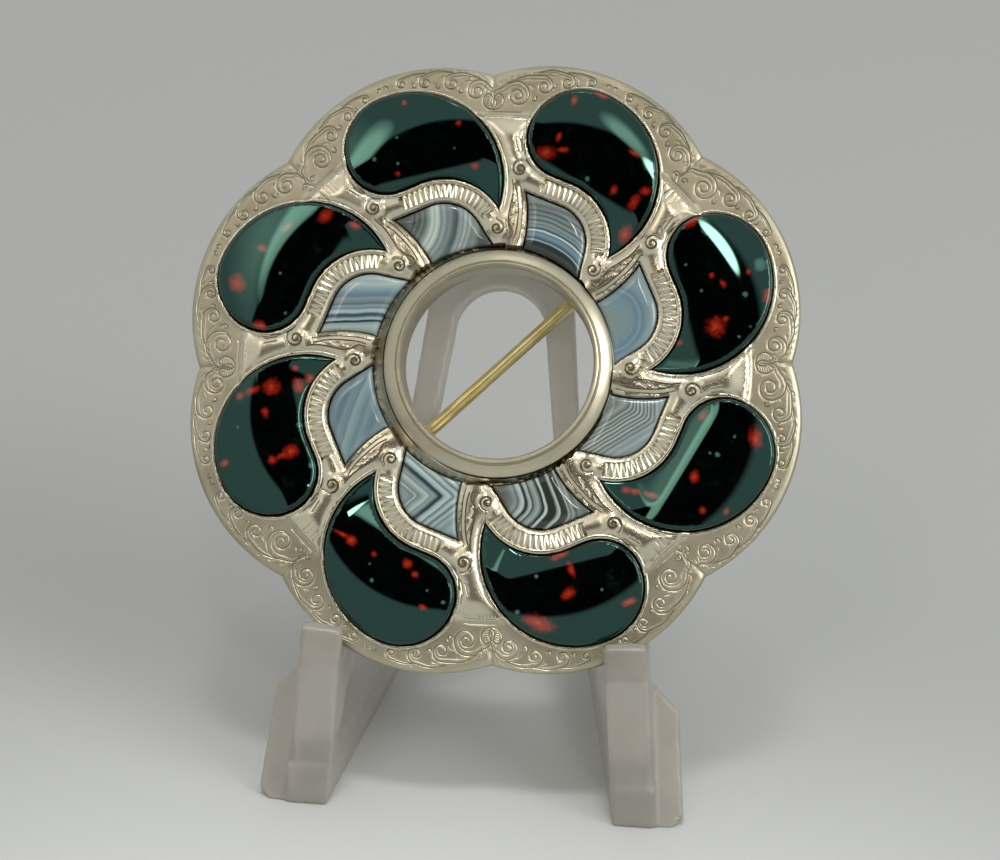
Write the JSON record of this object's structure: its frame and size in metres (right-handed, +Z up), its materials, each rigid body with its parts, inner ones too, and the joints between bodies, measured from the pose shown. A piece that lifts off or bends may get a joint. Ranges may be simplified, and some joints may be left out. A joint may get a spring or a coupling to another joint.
{
  "type": "agate brooch on acrylic display stand",
  "caption": "Round open brooch with a lobed engraved silver frame, comma-shaped bloodstones and banded agates whirling round a plain centre ring, on a clear acrylic easel.",
  "frame": {"origin": "middle of the easel's and brooch's footprint, on the surface that the easel stands on", "axes": "+Z up, the brooch faces -Y and leans back 30 degrees, +X to the right of a person facing it"},
  "size_m": [0.0612, 0.04, 0.0681],
  "materials": {
    "silver": "polished, engraved, with dark tarnish in the cuts",
    "bloodstone": "polished stone, dark green with red spots",
    "banded_agate": "polished stone, blue-grey bands",
    "brass": "worn, satin",
    "clear_acrylic": "clear acrylic, slightly hazed"
  },
  "bodies": {
    "root": {"silver_setting": "silver", "bloodstone_1": "bloodstone", "bloodstone_2": "bloodstone", "bloodstone_3": "bloodstone", "bloodstone_4": "bloodstone", "bloodstone_5": "bloodstone", "bloodstone_6": "bloodstone", "bloodstone_7": "bloodstone", "bloodstone_8": "bloodstone", "banded_agate_1": "banded_agate", "banded_agate_2": "banded_agate", "banded_agate_3": "banded_agate", "banded_agate_4": "banded_agate", "banded_agate_5": "banded_agate", "banded_agate_6": "banded_agate", "banded_agate_7": "banded_agate", "banded_agate_8": "banded_agate", "brooch_pin": "brass", "display_stand": "clear_acrylic"}
  },
  "joints": []
}
